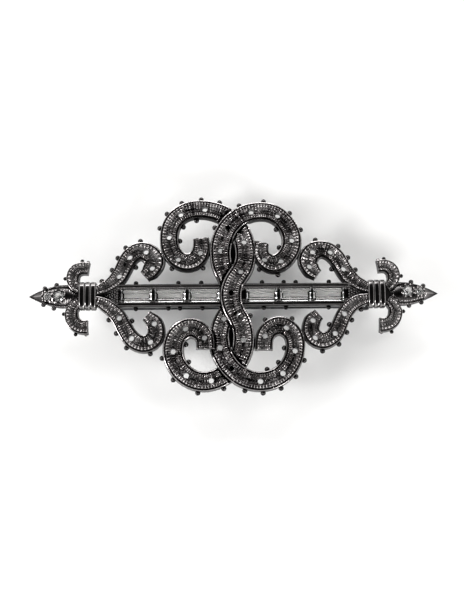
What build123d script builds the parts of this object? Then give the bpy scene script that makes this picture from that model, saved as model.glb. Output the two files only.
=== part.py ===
from build123d import *
import math
import os

# Barrette: a cast scrollwork ornament with glass stones over a spring hair clip.
# Millimetres. X runs along the length, Z points out of the decorative face,
# and Z = 0 is the surface the closed barrette rests on.

# Heights of the layers
PIN_Z = 1.7            # hinge axis of the clip arm
PLATE_BOTTOM = 7.9     # base plate of the clip
PLATE_TOP = 8.8        # also the back of the crossbar
BAND_BACK = 9.6        # back of the scroll bands
BAND_SPLIT = 10.8      # where two crossing bands meet
BAND_TOP = 12.3        # top of a band's rims
BEAD_Z = 10.9
GAP = 0.02             # assembly gap between neighbouring castings

# Band section
RIM_WIDTH = 0.5
RIBBED_DEPTH = 0.5     # ribbed shoulders below the rims
CHANNEL_SHARE = 0.65   # channel half width over band half width
CHANNEL_DEPTH = 0.85
HOLE_R = 0.8
BEAD_R = 0.58

# Crossbar and stones
BAR_HALF_WIDTH = 2.65
BAR_END_X = 28.4
BAR_INNER_X = 3.3
BAR_TOP = 11.7
STONE_X = (-24.1, -15.7, -7.3, 7.1, 15.5, 23.7)
STONE_LENGTH = 7.2
STONE_WIDTH = 3.2
STONE_BOTTOM = 9.8
STONE_GIRDLE = 11.2
STONE_TABLE = 11.8
LINK_HALF_WIDTH = 2.3

# Collars and finials
COLLAR_X = 36.4        # centre of each collar
TIP_X = 50.9

# Clip
PLATE_HALF_WIDTH = 2.3
HINGE_X = -32.0
PIN_R = 0.55
EAR_T = 0.45
EAR_IN = 1.85
ARM_T = 0.8
ARM_HALF_WIDTH = 2.1
ARM_RIB_HALF = 0.7     # rib stamped down along the middle of the arm
ARM_RIB_DEPTH = 0.2
CATCH_X = 32.3
LUG_IN = 1.15
LUG_T = 0.5
LUG_PIVOT_Z = 6.9
BOW_END_X = 26.5
BOW_SAG = 0.75

# Each band is a list of (x, y, half width) stations joined by a smooth curve.
BAND_A = [
    (-8.0, 14.9, 1.85), (-8.3, 11.2, 2.0), (-11.5, 8.4, 2.1), (-14.9, 10.3, 2.1),
    (-16.2, 14.3, 2.05), (-15.3, 18.5, 2.1), (-12.1, 21.4, 2.15), (-7.4, 22.1, 2.15),
    (-2.8, 20.8, 2.2), (1.0, 17.8, 2.2), (3.0, 13.2, 2.3), (1.9, 7.2, 2.35),
    (-0.6, 3.2, 2.4), (-1.1, 0.0, 2.4), (-0.3, -3.4, 2.4), (1.8, -7.0, 2.35),
    (2.6, -12.0, 2.3), (0.9, -16.9, 2.2), (-3.0, -20.4, 2.2), (-8.2, -21.5, 2.25),
    (-13.0, -18.8, 2.35), (-15.1, -13.8, 2.4), (-13.7, -9.7, 2.35), (-10.3, -8.1, 2.2),
    (-7.5, -9.9, 2.15), (-6.9, -13.3, 2.2),
]
BAND_B = [
    (7.6, 13.6, 1.8), (7.2, 10.0, 1.9), (9.7, 7.9, 2.05), (12.9, 9.6, 2.2),
    (14.6, 13.9, 2.3), (13.3, 18.5, 2.25), (10.0, 20.9, 2.15), (6.4, 21.4, 2.15),
    (2.6, 20.5, 2.2), (-0.9, 17.8, 2.25), (-2.9, 13.7, 2.3), (-3.0, 8.8, 2.3),
    (-1.5, 4.2, 2.2), (0.1, 0.3, 2.1), (-1.2, -3.7, 2.1), (-3.1, -7.7, 2.15),
    (-3.6, -12.4, 2.2), (-2.0, -16.6, 2.25), (1.4, -20.1, 2.25), (6.6, -21.7, 2.25),
    (12.0, -19.7, 2.15), (15.1, -14.3, 2.05), (14.4, -9.7, 2.05), (11.4, -7.8, 2.1),
    (8.3, -9.4, 2.05), (7.4, -13.7, 2.1),
]
SCROLL_LT = [
    (-36.3, 1.1, 0.9), (-34.1, 1.4, 1.05), (-31.4, 2.5, 1.35), (-28.5, 5.1, 1.85),
    (-26.2, 9.7, 2.05), (-23.6, 11.6, 2.1), (-20.7, 10.8, 2.2), (-19.6, 8.8, 2.3),
    (-20.6, 6.4, 2.05), (-22.1, 4.9, 1.4),
]
SCROLL_LB = [
    (-36.3, -1.1, 0.9), (-34.1, -1.2, 1.05), (-31.5, -2.6, 1.35), (-28.8, -5.2, 1.65),
    (-26.9, -8.6, 1.8), (-24.8, -11.4, 1.85), (-21.8, -12.3, 1.9), (-19.2, -10.4, 1.9),
    (-19.3, -7.3, 1.85), (-21.6, -5.0, 1.3),
]
SCROLL_RT = [
    (36.3, 1.1, 0.9), (34.4, 1.4, 1.05), (31.4, 2.7, 1.35), (28.5, 5.4, 1.8),
    (25.7, 9.9, 2.0), (22.7, 11.6, 2.05), (19.7, 10.8, 2.15), (18.5, 8.8, 2.25),
    (19.5, 6.4, 2.0), (21.1, 4.9, 1.4),
]
SCROLL_RB = [
    (36.3, -1.1, 0.9), (34.3, -1.1, 1.05), (30.9, -1.9, 1.35), (28.1, -4.3, 1.65),
    (26.4, -7.4, 1.75), (24.4, -10.3, 1.85), (21.5, -11.4, 1.85), (18.9, -9.7, 1.85),
    (18.8, -6.6, 1.8), (21.2, -5.0, 1.3),
]
PETAL_T = [
    (-38.8, 1.5, 1.1), (-40.2, 2.8, 1.4), (-41.0, 5.0, 1.65), (-39.8, 7.1, 1.65),
    (-38.2, 7.5, 1.6), (-36.3, 7.3, 1.6),
]
PETAL_B = [
    (-38.8, -1.5, 1.1), (-40.3, -2.9, 1.4), (-41.0, -5.2, 1.65), (-39.6, -7.5, 1.7),
    (-38.0, -8.1, 1.75), (-36.2, -8.2, 1.8),
]

# Stations in millimetres along each band: pierced holes, then beads on its two sides.
HOLES_A = (4, 10.5, 17, 24, 30.5, 44.5, 52, 58.5, 65, 71, 85, 91.5, 98.5, 105.5, 111.5)
LEFT_A = (6, 10.5, 19, 22, 25.5, 29.5, 33, 66, 83, 88, 93, 97.5)
RIGHT_A = (16, 22, 28, 94, 101.5)
HOLES_B = (5, 9.5, 15.5, 23, 30, 37.5, 43.5, 62, 69.5, 75.5, 83.5, 89.5, 96, 102.5, 109)
LEFT_B = (12.5, 20.5, 86, 91, 96.5)
RIGHT_B = (5.5, 8, 17.5, 21.5, 27, 32, 80.5, 84, 87.5, 91, 94.5, 102.5, 106.5)
# Side scrolls: name, stations, holes, beads to the left, beads to the right
SIDE_SCROLLS = (
    ("side_scroll_left_top", SCROLL_LT, (9, 14.5, 19.5, 25), (4.5, 9.5, 13, 15.5, 18), (13,)),
    ("side_scroll_left_bottom", SCROLL_LB, (9.5, 15.5, 21, 26.5), (11.5,), (8, 12.5, 16, 20)),
    ("side_scroll_right_top", SCROLL_RT, (10.5, 16, 21, 25.5), (12,), (8.5, 12.5, 15.5, 19.5)),
    ("side_scroll_right_bottom", SCROLL_RB, (10, 15.5, 21, 26.5), (5.5, 10.5, 14, 16.5, 19), (14,)),
)


def half_width_at(points, share):
    """Half width at a share of the length, blended between the stations."""
    lengths = [0.0]
    for (x0, y0, _), (x1, y1, _) in zip(points, points[1:]):
        lengths.append(lengths[-1] + math.hypot(x1 - x0, y1 - y0))
    target = share * lengths[-1]
    for i in range(len(points) - 1):
        if target <= lengths[i + 1]:
            part = (target - lengths[i]) / (lengths[i + 1] - lengths[i])
            ease = part * part * (3 - 2 * part)
            return points[i][2] + ease * (points[i + 1][2] - points[i][2])
    return points[-1][2]


def side_point(line, points, share, side, inset=0.0):
    """Point beside the centreline, side 1 to the left and -1 to the right."""
    centre = line.position_at(share)
    along = line.tangent_at(share)
    reach = side * (half_width_at(points, share) - inset)
    return (centre.X - along.Y * reach, centre.Y + along.X * reach)


def ribbon(points, inset, bottom, top, share_of_width=1.0):
    """Solid strip along a centreline, as wide as its stations less the inset."""
    scaled = [(x, y, h * share_of_width) for x, y, h in points]
    line = Spline(*[(x, y) for x, y, _ in points])
    trim = inset / line.length
    count = 3 * (len(points) - 1)
    shares = [trim + (1 - 2 * trim) * i / count for i in range(count + 1)]
    left = Spline(*[side_point(line, scaled, s, 1, inset) for s in shares])
    right = Spline(*[side_point(line, scaled, s, -1, inset) for s in shares])
    outline = Wire([left, Line(left @ 1, right @ 1), right, Line(right @ 0, left @ 0)])
    return Pos(0, 0, bottom) * extrude(Face(outline), top - bottom, dir=(0, 0, 1))


def bead_row(points, stations, side, z=BEAD_Z):
    """Beads standing half out of one side of a band."""
    line = Spline(*[(x, y) for x, y, _ in points])
    beads = []
    for station in stations:
        x, y = side_point(line, points, station / line.length, side, -0.2)
        beads.append(Pos(x, y, z) * Sphere(BEAD_R))
    return beads


def pierced(body, points, stations):
    """The body with a round hole through it at each station of the centreline."""
    line = Spline(*[(x, y) for x, y, _ in points])
    drills = []
    for station in stations:
        spot = line.position_at(station / line.length)
        drills.append(Pos(spot.X, spot.Y, BAND_BACK) * Cylinder(HOLE_R, 10))
    return body - drills


def band_body(points, holes, bottom=BAND_BACK, top=BAND_TOP):
    """Band with standing rims, ribbed shoulders one step down and a deeper channel."""
    body = ribbon(points, 0, bottom, top)
    body -= ribbon(points, RIM_WIDTH, top - RIBBED_DEPTH, top + 1)
    body -= ribbon(points, RIM_WIDTH, top - CHANNEL_DEPTH, top + 1, CHANNEL_SHARE)
    return pierced(body, points, holes)


def prism(corners, bottom, top):
    """Straight-sided solid from an outline."""
    face = make_face(Polyline(*corners, close=True))
    return Pos(0, 0, bottom) * extrude(face, top - bottom, dir=(0, 0, 1))


def box(x0, x1, y0, y1, z0, z1):
    """Box between two corners."""
    middle = Pos((x0 + x1) / 2, (y0 + y1) / 2, (z0 + z1) / 2)
    return middle * Box(abs(x1 - x0), abs(y1 - y0), abs(z1 - z0))


def whole(shape):
    """The largest solid of a shape, without loose crumbs."""
    return max(shape.solids(), key=lambda solid: solid.volume)


def crossings():
    """Footprints shared by the two large bands: those where A lies over, then B over."""
    reach_a = ribbon(BAND_A, -GAP, BAND_BACK - 1, BAND_TOP + 1)
    reach_b = ribbon(BAND_B, -GAP, BAND_BACK - 1, BAND_TOP + 1)
    shared = (reach_a & reach_b).solids()
    over_a = [s for s in shared if abs(s.center().Y) < 15]
    over_b = [s for s in shared if abs(s.center().Y) >= 15]
    return over_a, over_b


def large_bands():
    """The two interlaced scroll bands, halved into each other where they cross."""
    over_a, over_b = crossings()
    upper = box(-30, 30, -30, 30, BAND_SPLIT, BAND_TOP + 2)
    lower = box(-30, 30, -30, 30, BAND_BACK - 2, BAND_SPLIT)
    body_a = band_body(BAND_A, HOLES_A)
    body_b = band_body(BAND_B, HOLES_B)
    for footprint in over_a:
        body_a -= footprint & lower
        body_b -= footprint & upper
    for footprint in over_b:
        body_a -= footprint & upper
        body_b -= footprint & lower
    reach_a = ribbon(BAND_A, -GAP, BAND_BACK - 1, BAND_TOP + 1)
    reach_b = ribbon(BAND_B, -GAP, BAND_BACK - 1, BAND_TOP + 1)
    beads_a = bead_row(BAND_A, LEFT_A, 1) + bead_row(BAND_A, RIGHT_A, -1)
    beads_b = bead_row(BAND_B, LEFT_B, 1) + bead_row(BAND_B, RIGHT_B, -1)
    body_a += [bead - reach_b for bead in beads_a]
    body_b += [bead - reach_a for bead in beads_b]
    return whole(body_a), whole(body_b)


def side_scroll(points, holes, left_beads, right_beads, neighbours):
    """One of the four smaller scrolls, cut clear of the large bands."""
    body = band_body(points, holes, BAND_BACK, BAND_TOP - 0.2)
    beads = bead_row(points, left_beads, 1) + bead_row(points, right_beads, -1)
    body += beads
    return whole(body - neighbours)


def stone_box(x, grow, bottom, top):
    """Block around one baguette stone."""
    half_x = STONE_LENGTH / 2 + grow
    half_y = STONE_WIDTH / 2 + grow
    return box(x - half_x, x + half_x, -half_y, half_y, bottom, top)


def baguette(x):
    """Step-cut rectangular stone: pavilion, girdle and two crown steps."""
    half = STONE_WIDTH / 2
    levels = (
        (STONE_BOTTOM, half - 0.9), (STONE_GIRDLE - 0.15, half), (STONE_GIRDLE, half),
        (STONE_GIRDLE + 0.3, half - 0.3), (STONE_TABLE, half - 0.75),
    )
    sections = []
    for z, reach in levels:
        length = STONE_LENGTH + 2 * (reach - half)
        sections.append(Pos(x, 0, z) * Rectangle(length, 2 * reach))
    return whole(loft(sections, ruled=True))


def crossbar(neighbours):
    """Stone channel in two halves, joined by a thin link behind the bands."""
    y = BAR_HALF_WIDTH
    parts = []
    for side in (-1, 1):
        near = side * BAR_INNER_X
        far = side * BAR_END_X
        half = box(near, far, -y, y, PLATE_TOP, BAR_TOP)
        for edge in (-1, 1):
            half -= box(near, far, edge * (y - 0.65), edge * (y - 0.4), BAR_TOP - 0.35, BAR_TOP + 1)
        half += prism([(far, -2.3), (far + side * 4.2, -0.3), (far + side * 4.2, 0.3), (far, 2.3)],
                      PLATE_TOP + 0.6, BAND_SPLIT)
        for edge in (-1, 1):
            half += prism([(side * 8, edge * 2.4), (side * 4.9, edge * 3.0), (side * 4.6, edge * 5.0),
                           (side * 5.4, edge * 9.0), (side * 4.4, edge * 9.0), (side * 2.4, edge * 4.0),
                           (side * 2.4, edge * 2.4)], BAND_BACK, BAND_SPLIT + 0.6)
        parts.append(half)
    link = box(-BAR_INNER_X - 1, BAR_INNER_X + 1, -LINK_HALF_WIDTH, LINK_HALF_WIDTH,
               PLATE_TOP, BAND_BACK - GAP)
    body = parts[0] + parts[1] + link
    body -= [stone_box(x, GAP, STONE_BOTTOM, BAR_TOP + 1) for x in STONE_X]
    beads = [Pos(side * x, edge * (y + 0.3), BEAD_Z - 0.5) * Sphere(BEAD_R)
             for side in (-1, 1) for edge in (-1, 1) for x in (7.6, 13.4, 24.0)]
    prongs = [Pos(side * x, edge * 1.35, BAR_TOP - 0.1) * Sphere(0.45)
              for side in (-1, 1) for edge in (-1, 1) for x in (3.6, 11.35, 19.75, 27.6)]
    body += beads
    body += prongs
    body -= [stone_box(x, 0.01, STONE_BOTTOM, BAR_TOP + 1) for x in STONE_X]
    return whole(body - neighbours)


def collar(side):
    """Band of three rounded ridges wrapped round the stems behind a finial."""
    body = None
    for i in (-1, 0, 1):
        x = side * COLLAR_X + 1.4 * i
        ridge = box(x - 0.69, x + 0.69, -3.55, 3.55, BAND_BACK - 0.8, BAND_TOP + 0.5)
        ridge = fillet(ridge.edges().filter_by(Axis.X), 1.2)
        ridge = fillet(ridge.edges().group_by(Axis.X)[0] + ridge.edges().group_by(Axis.X)[-1], 0.45)
        body = ridge if body is None else body + ridge
    core = box(side * COLLAR_X - 1.9, side * COLLAR_X + 1.9, -3.1, 3.1, BAND_BACK - 0.4, BAND_TOP)
    bore = box(side * COLLAR_X - 3, side * COLLAR_X + 3, -2.75, 2.75, BAND_BACK, BAND_TOP - 0.2)
    return whole(body + core - bore)


def mirrored_points(points, side):
    return [(-side * x, y, h) for x, y, h in points]


def leaf_outline(side, share):
    """Teardrop of the finial's centre petal, drawn in towards its middle by a share."""
    corners = [(-39.2, 1.0), (-41.2, 2.6), (-44.2, 2.75), (-47.2, 1.9), (-TIP_X, 0.12)]
    corners = corners + [(x, -y) for x, y in reversed(corners)]
    middle = -43.5
    return [(-side * (middle + (x - middle) * share), y * share) for x, y in corners]


def round_stone(side, x, y, radius):
    """Round brilliant: cone below, flat table above."""
    profile = Polyline((0, 10.4), (radius, 11.5), (radius, 11.65), (radius * 0.6, 12.1), (0, 12.1),
                       close=True)
    face = make_face(Rot(90, 0, 0) * profile)
    return Pos(side * x, y, 0) * whole(revolve(face, Axis.Z))


# (distance from the middle, y, radius) of the two round stones in each finial
ROUND_STONES = {-1: ((43.4, 0.0, 1.4), (46.3, 0.0, 1.0)), 1: ((43.4, 0.7, 1.4), (46.3, 0.45, 1.0))}


def finial(side, neighbours):
    """Fleur-de-lis end: two curled side petals and a pointed centre petal with stones."""
    leaf = prism(leaf_outline(side, 1.0), BAND_BACK, BAND_SPLIT)
    steps = ((1.0, BAND_SPLIT), (0.72, BAND_TOP - 0.8))
    rings = [Pos(0, 0, z) * make_face(Polyline(*leaf_outline(side, share), close=True))
             for share, z in steps]
    leaf += loft(rings, ruled=True)
    for x, y, radius in ROUND_STONES[side]:
        seat = Pos(side * x, y, BAND_TOP - 1.2) * Cylinder(radius + 0.3, 1.3)
        leaf += seat
    petals = []
    for points, outer in ((PETAL_T, -side), (PETAL_B, side)):
        turned = mirrored_points(points, side)
        petal = band_body(turned, (), BAND_BACK, BAND_TOP - 0.1)
        petals.append(petal + bead_row(turned, (3.6, 7.2), outer))
    tenon = box(side * (COLLAR_X + 0.25), side * 40.2, -2.3, 2.3, BAND_BACK, BAND_TOP - 0.9)
    beads = [Pos(side * x, edge * y, BEAD_Z - 0.4) * Sphere(BEAD_R)
             for edge in (-1, 1) for x, y in ((44.3, 2.95), (47.1, 2.1))]
    body = leaf + petals[0] + petals[1] + tenon
    body += beads
    tip = Pos(side * (TIP_X - 1.4), 0, 10.9) * Sphere(0.5)
    return whole(body + tip - neighbours)


def base_plate():
    """Long stamped strip with the hinge ears folded down at one end."""
    y = PLATE_HALF_WIDTH
    body = box(HINGE_X - 1.9, CATCH_X + 2.2, -y, y, PLATE_BOTTOM, PLATE_TOP)
    for side in (-1, 1):
        outer = side * y
        inner = side * EAR_IN
        ear = box(HINGE_X - 1.7, HINGE_X + 1.7, inner, outer, PIN_Z, PLATE_BOTTOM + 0.1)
        middle = (inner + outer) / 2
        ear += Pos(HINGE_X, middle, PIN_Z) * Rot(90, 0, 0) * Cylinder(1.7, EAR_T)
        body += ear
    body -= Pos(HINGE_X, 0, PIN_Z) * Rot(90, 0, 0) * Cylinder(PIN_R + 0.01, 20)
    for side in (-1, 1):
        body -= box(side * BOW_END_X - 0.45, side * BOW_END_X + 0.45, -1.35, 1.35, 0, 20)
        body -= Pos(side * 12, 0, PLATE_TOP) * Cylinder(0.62, 4)
    body -= Pos(CATCH_X, 0, PLATE_TOP) * Cylinder(0.52, 4)
    return whole(body)


def hinge_pin():
    """Plain pin with a small spread head outside each ear."""
    body = Pos(HINGE_X, 0, PIN_Z) * Rot(90, 0, 0) * Cylinder(PIN_R, 2 * PLATE_HALF_WIDTH)
    for side in (-1, 1):
        head = Pos(HINGE_X, side * (PLATE_HALF_WIDTH + 0.12), PIN_Z) * Rot(90, 0, 0)
        body += head * Cylinder(PIN_R + 0.3, 0.24)
    return whole(body)


def arm():
    """Clip arm: rolled eye on the pin, long strip, window frame over the catch lugs."""
    low = PIN_Z - ARM_T / 2
    high = PIN_Z + ARM_T / 2
    eye = Pos(HINGE_X, 0, PIN_Z) * Rot(90, 0, 0) * Cylinder(1.15, 2 * EAR_IN - 0.3)
    neck = box(HINGE_X, HINGE_X + 3, -EAR_IN + 0.15, EAR_IN - 0.15, low, high)
    strip = box(HINGE_X + 2.4, CATCH_X - 2, -ARM_HALF_WIDTH, ARM_HALF_WIDTH, low, high)
    frame = box(CATCH_X - 3, CATCH_X + 2.6, -2.6, 2.6, low, high)
    frame = fillet(frame.edges().filter_by(Axis.Z), 0.5)
    lip = box(CATCH_X + 2.1, CATCH_X + 2.6, -1.6, 1.6, low, high + 0.7)
    rib = box(HINGE_X + 8, CATCH_X - 9, -ARM_RIB_HALF, ARM_RIB_HALF, low - ARM_RIB_DEPTH, low + 0.1)
    body = eye + neck + strip + frame + lip + rib
    body -= box(CATCH_X - 1.6, CATCH_X + 1.6, -1.8, 1.8, 0, 5)
    body -= box(HINGE_X + 8.2, CATCH_X - 9.2, -0.5, 0.5, high - ARM_RIB_DEPTH, high + 1)
    body -= Pos(HINGE_X, 0, PIN_Z) * Rot(90, 0, 0) * Cylinder(PIN_R + 0.05, 20)
    return whole(body)


def tension_bow():
    """Thin strip arched towards the arm, with an end tab through each slot of the plate."""
    line = ThreePointArc((-BOW_END_X - 0.17, PLATE_BOTTOM - 0.2), (0, PLATE_BOTTOM - 0.2 - BOW_SAG),
                         (BOW_END_X + 0.17, PLATE_BOTTOM - 0.2))
    face = make_face(Plane.XZ * offset(line, 0.17, side=Side.BOTH))
    body = extrude(face, 1.9, both=True)
    for side in (-1, 1):
        body += box(side * BOW_END_X - 0.17, side * BOW_END_X + 0.17, -1.2, 1.2,
                    PLATE_BOTTOM - 0.3, PLATE_TOP - 0.05)
    body -= box(-40, 40, -5, -1.2, PLATE_BOTTOM, 20) + box(-40, 40, 1.2, 5, PLATE_BOTTOM, 20)
    return whole(body)


def catch_base():
    """Small channel riveted under the plate, carrying the two lugs."""
    web = box(CATCH_X - 1.4, CATCH_X + 1.4, -1.9, 1.9, PLATE_BOTTOM - 0.35, PLATE_BOTTOM)
    body = web
    for side in (-1, 1):
        body += box(CATCH_X - 1.4, CATCH_X + 1.4, side * LUG_IN, side * (LUG_IN + LUG_T),
                    LUG_PIVOT_Z + LUG_T / 2 + GAP, PLATE_BOTTOM - 0.1)
    body -= Pos(CATCH_X, 0, PLATE_TOP) * Cylinder(0.52, 4)
    return whole(body)


def lug(side):
    """One springy catch lug: a tongue with a rounded barb under the arm's frame."""
    middle = side * (LUG_IN + LUG_T / 2)
    root = Pos(CATCH_X, middle, LUG_PIVOT_Z) * Rot(0, 90, 0) * Cylinder(LUG_T / 2, 2.8)
    tongue = box(CATCH_X - 1.3, CATCH_X + 1.3, side * LUG_IN, side * (LUG_IN + LUG_T), 0.3, LUG_PIVOT_Z)
    tip = Pos(CATCH_X, middle, 0.3) * Rot(0, 90, 0) * Cylinder(0.3, 2.6)
    barb = Pos(CATCH_X, side * (LUG_IN + LUG_T), 0.85) * Rot(0, 90, 0) * Cylinder(0.38, 2.0)
    return whole(root + tongue + tip + barb)


def rivet(x, shank_r, head_r, head_bottom, head_top, shank_top):
    """Round rivet with its head below the plate."""
    head = Pos(x, 0, (head_bottom + head_top) / 2) * Cylinder(head_r, head_top - head_bottom)
    head = fillet(head.edges().group_by(Axis.Z)[0], 0.15)
    shank = Pos(x, 0, (head_bottom + shank_top) / 2) * Cylinder(shank_r, shank_top - head_bottom)
    return whole(head + shank)


def build():
    """All the pieces by name."""
    pieces = {}
    band_a, band_b = large_bands()
    pieces["scroll_band_a"] = band_a
    pieces["scroll_band_b"] = band_b
    reach = [ribbon(BAND_A, -GAP, BAND_BACK - 0.01, BAND_TOP + 1),
             ribbon(BAND_B, -GAP, BAND_BACK - 0.01, BAND_TOP + 1)]
    large_beads = (bead_row(BAND_A, LEFT_A, 1) + bead_row(BAND_A, RIGHT_A, -1)
                   + bead_row(BAND_B, LEFT_B, 1) + bead_row(BAND_B, RIGHT_B, -1))
    stems = []
    for name, points, holes, left, right in SIDE_SCROLLS:
        near = [bead for bead in large_beads if bead.center().X * points[0][0] > 0
                and abs(bead.center().X) > 15]
        pieces[name] = side_scroll(points, holes, left, right, reach + near)
        stems.append(ribbon(points, -GAP, BAND_BACK - 1, BAND_TOP + 1))
        stems.extend(bead_row(points, left, 1) + bead_row(points, right, -1))
    pieces["crossbar"] = crossbar(reach + stems + large_beads)
    for i, x in enumerate(STONE_X, start=1):
        pieces["baguette_stone_" + str(i)] = baguette(x)
    for word, side in (("left", -1), ("right", 1)):
        stones = [round_stone(side, x, y, radius) for x, y, radius in ROUND_STONES[side]]
        pieces["collar_" + word] = collar(side)
        pieces["finial_" + word] = finial(side, stones + [pieces["collar_" + word]])
        pieces["large_round_stone_" + word] = stones[0]
        pieces["small_round_stone_" + word] = stones[1]
    pieces["base_plate"] = base_plate()
    pieces["hinge_pin"] = hinge_pin()
    pieces["clip_arm"] = arm()
    pieces["tension_bow"] = tension_bow()
    pieces["catch_base"] = catch_base()
    pieces["catch_lug_front"] = lug(-1)
    pieces["catch_lug_back"] = lug(1)
    shank_top = BAND_BACK - 0.3
    plate_rivets = [rivet(x, 0.6, 1.1, PLATE_BOTTOM - 0.35, PLATE_BOTTOM, shank_top) for x in (-12, 12)]
    pieces["plate_rivets"] = Compound(plate_rivets)
    pieces["catch_rivet"] = rivet(CATCH_X, 0.5, 0.85, PLATE_BOTTOM - 0.6, PLATE_BOTTOM - 0.35,
                                  PLATE_TOP)
    drills = [Pos(x, 0, PLATE_TOP) * Cylinder(0.62, 2 * (shank_top - PLATE_TOP + 0.02)) for x in (-12, 12)]
    pieces["crossbar"] = whole(Part(pieces["crossbar"].wrapped) - drills)
    return pieces


os.makedirs("parts", exist_ok=True)
for name, piece in build().items():
    export_step(piece, os.path.join("parts", name + ".step"))
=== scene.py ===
"""The barrette's looks: cast scrollwork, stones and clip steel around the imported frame."""
import math

import bmesh
import bpy
import numpy as np
from mathutils import Matrix, Vector


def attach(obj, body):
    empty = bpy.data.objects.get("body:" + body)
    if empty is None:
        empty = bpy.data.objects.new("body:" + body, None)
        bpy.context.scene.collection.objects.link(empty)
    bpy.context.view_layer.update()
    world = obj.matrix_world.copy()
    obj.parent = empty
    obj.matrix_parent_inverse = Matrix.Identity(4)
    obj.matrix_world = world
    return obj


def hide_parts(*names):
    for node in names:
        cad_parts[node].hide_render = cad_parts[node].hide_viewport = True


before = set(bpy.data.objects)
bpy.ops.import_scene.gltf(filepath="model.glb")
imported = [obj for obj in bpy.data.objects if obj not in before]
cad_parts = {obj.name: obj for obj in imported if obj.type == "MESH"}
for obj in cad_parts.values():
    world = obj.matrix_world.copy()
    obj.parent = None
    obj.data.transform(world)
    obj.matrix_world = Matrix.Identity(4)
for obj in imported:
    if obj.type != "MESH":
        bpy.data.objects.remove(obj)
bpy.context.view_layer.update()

# Shape tables and helpers work in millimetres; meshes are made in metres.
MM = 0.001
ORNAMENT = "ornament"

# Bands, side scrolls and petals
BAND_BACK = 9.6
BAND_TOP = 12.3
SCROLL_TOP = BAND_TOP - 0.2
PETAL_TOP = BAND_TOP - 0.1
BEAD_Z = 10.5
BEAD_R = 0.66
BEAD_OUT = 0.42        # bead centre beyond the edge of its band
HOLE_R = 0.66

# Crossbar. Keys -1 and 1 stand for the left and the right half.
PLATE_TOP = 8.8
BAR_HALF_WIDTH = 2.85
BAR_INNER_X = {-1: 3.3, 1: 1.9}
BAR_END_X = 28.4       # where the channel starts to narrow to a tongue
BAR_TOP = 11.7
BAR_BEAD_R = 0.6
BAR_BEADS = (
    (-24.3, 3.25), (-13.7, 3.25), (-8.0, 3.25), (7.2, 3.25), (12.6, 3.25), (15.6, 3.25), (23.9, 3.25),
    (-24.3, -3.2), (-16.2, -3.15), (-13.3, -3.15), (-7.7, -3.15), (7.6, -3.15), (13.1, -3.15), (23.7, -3.2),
)
GRANULE_PITCH = 0.66
GRANULE_ROWS = (1.98, 1.65, 1.32, 0.99, 0.66, 0.33)   # half length of each row of granules
GRANULE_R = 0.32

# Rectangular stones
STONE_X = (-24.1, -15.7, -7.3, 7.1, 15.5, 23.7)
STONE_LENGTH = 7.5
STONE_WIDTH = 3.2
STONE_BOTTOM = 9.8
STONE_GIRDLE = 11.2
STONE_TABLE = 11.8

# Collars and finials
COLLAR_X = {-1: 36.2, 1: 35.6}   # distance of each collar from the middle
COLLAR_RIDGE = 1.4               # width of one of the three ridges
COLLAR_HALF = 1.5 * COLLAR_RIDGE
TIP_X = 50.9
# Round stones, as (distance from the middle, y, radius), large and small on each side
ROUND_STONES = {-1: ((43.4, 0.0, 1.4), (46.3, 0.0, 1.0)), 1: ((43.4, 0.7, 1.4), (46.3, 0.45, 1.0))}
PETAL_BEADS = (3.6, 7.4)         # stations along a petal
# Beads along a leaf, as (distance from the middle, y)
FINIAL_BEADS = {
    -1: ((44.1, 2.95), (47.0, 2.1), (47.3, -2.0), (44.7, -2.95)),
    1: ((44.4, 3.0), (47.4, 2.0), (43.7, -2.95), (46.8, -2.15)),
}

# Bands: (x, y, half width) stations joined by a smooth curve, a little wider than in the CAD model
BAND_A = [
    (-8, 14.5, 1.95), (-8.1, 11, 2.2), (-9.4, 9, 2.3), (-11.7, 8.3, 2.25),
    (-14.8, 10.2, 2.3), (-16, 14.3, 2.25), (-15.1, 18.4, 2.25), (-12, 21.2, 2.25),
    (-7.4, 21.9, 2.25), (-2.8, 20.7, 2.3), (1, 17.7, 2.35), (2.9, 13, 2.55),
    (2.5, 7, 2.5), (0.2, 3.2, 2.5), (-0.6, 0, 2.6), (0, -3.4, 2.5),
    (1.8, -7, 2.5), (2.4, -12, 2.6), (0.8, -16.9, 2.4), (-3, -20.3, 2.4),
    (-8.2, -21.5, 2.4), (-13, -18.9, 2.45), (-15, -13.8, 2.5), (-13.6, -9.6, 2.5),
    (-10.3, -8.2, 2.4), (-7.5, -10.1, 2.25), (-7, -13.6, 2.2),
]
BAND_B = [
    (7.3, 13.3, 1.75), (7.1, 10.2, 2), (9.7, 7.8, 2.3), (13.1, 9.4, 2.35),
    (14.8, 13.7, 2.4), (13.1, 18.3, 2.25), (10, 20.8, 2.25), (6.4, 21.3, 2.25),
    (2.7, 20.4, 2.35), (-0.8, 17.6, 2.5), (-2.75, 13.7, 2.65), (-3, 8.8, 2.55),
    (-1.5, 4.2, 2.3), (0.1, 0.3, 2.2), (-1.2, -3.7, 2.2), (-3.1, -7.7, 2.3),
    (-3.5, -12.4, 2.5), (-2, -16.6, 2.4), (1.4, -20.1, 2.4), (6.6, -21.6, 2.4),
    (12, -19.7, 2.35), (15.1, -14.3, 2.3), (14.4, -9.6, 2.3), (11.4, -7.8, 2.3),
    (8.3, -9.4, 2.2), (7.4, -13.9, 2.15),
]
SCROLL_LT = [
    (-36.3, 1.1, 0.95), (-34.1, 1.3, 1.2), (-31.4, 2.35, 1.6), (-28.4, 5, 2.05),
    (-26.1, 9.4, 2.15), (-23.6, 11.3, 2.2), (-20.9, 10.6, 2.45), (-19.7, 8.8, 2.6),
    (-20.6, 6.4, 2.2), (-22.1, 4.9, 1.5),
]
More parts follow.
